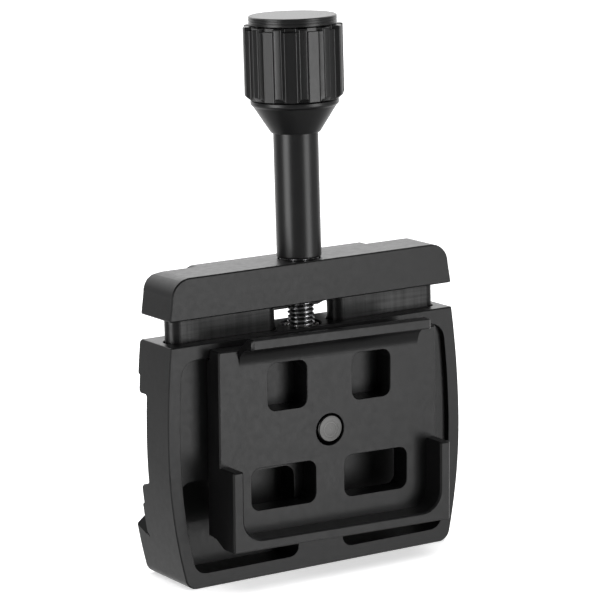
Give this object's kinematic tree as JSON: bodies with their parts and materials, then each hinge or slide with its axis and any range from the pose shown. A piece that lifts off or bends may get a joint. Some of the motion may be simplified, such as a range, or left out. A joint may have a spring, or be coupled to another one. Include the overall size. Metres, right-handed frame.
{
  "type": "dovetail quick release clamp",
  "caption": "Dovetail quick release clamp for camera plates: milled body, sliding jaw with guide tongues, long fluted knob, and an adapter foot with a U-shaped wall and windows.",
  "frame": {"origin": "middle of the footprint box, on the flat underside of the fixed jaw, on which the clamp stands", "axes": "+Z along the clamping screw, from the fixed jaw toward the knob; -Y is where the foot faces, +Y where the dovetail channel opens; X runs along the jaws"},
  "size_m": [0.0628, 0.0236, 0.1017],
  "materials": {
    "anodised_body": "fine blasted, black anodised",
    "anodised_jaw": "fine blasted, black anodised",
    "anodised_foot": "fine blasted, black anodised",
    "anodised_turned": "turned, black anodised",
    "grip_sleeve": "satin black, moulded",
    "bright_screw": "bright plated thread",
    "bright_steel": "turned, bright",
    "washer_steel": "plain",
    "dark_steel": "blackened",
    "insert_steel": "plain",
    "spring_wire": "drawn wire"
  },
  "bodies": {
    "base": {"clamp_body": "anodised_body", "adapter_foot": "anodised_foot", "foot_screw": "bright_steel", "thread_insert": "insert_steel", "return_spring_left": "spring_wire", "return_spring_right": "spring_wire"},
    "jaw": {"moving_jaw": "anodised_jaw"},
    "knob": {"knob_stem": "anodised_turned", "knob_grip": "grip_sleeve", "clamp_screw": "bright_screw", "thrust_washer": "washer_steel", "retaining_clip": "dark_steel"}
  },
  "joints": [
    {"name": "jaw_slide", "type": "slide", "parent": "base", "child": "jaw", "axis": [0, 0, 1], "range_m": [-0.0043, 0.002], "deforming": ["return_spring_left", "return_spring_right"]},
    {"name": "knob_turn", "type": "hinge", "parent": "jaw", "child": "knob", "pos_m": [0, 0.00155, 0.0583], "axis": [0, 0, 1], "range_deg": [-1930, 895]}
  ],
  "couplings": [
    {"joint": "jaw_slide", "follows": "knob_turn", "m_per_rad": 0.00012732}
  ]
}
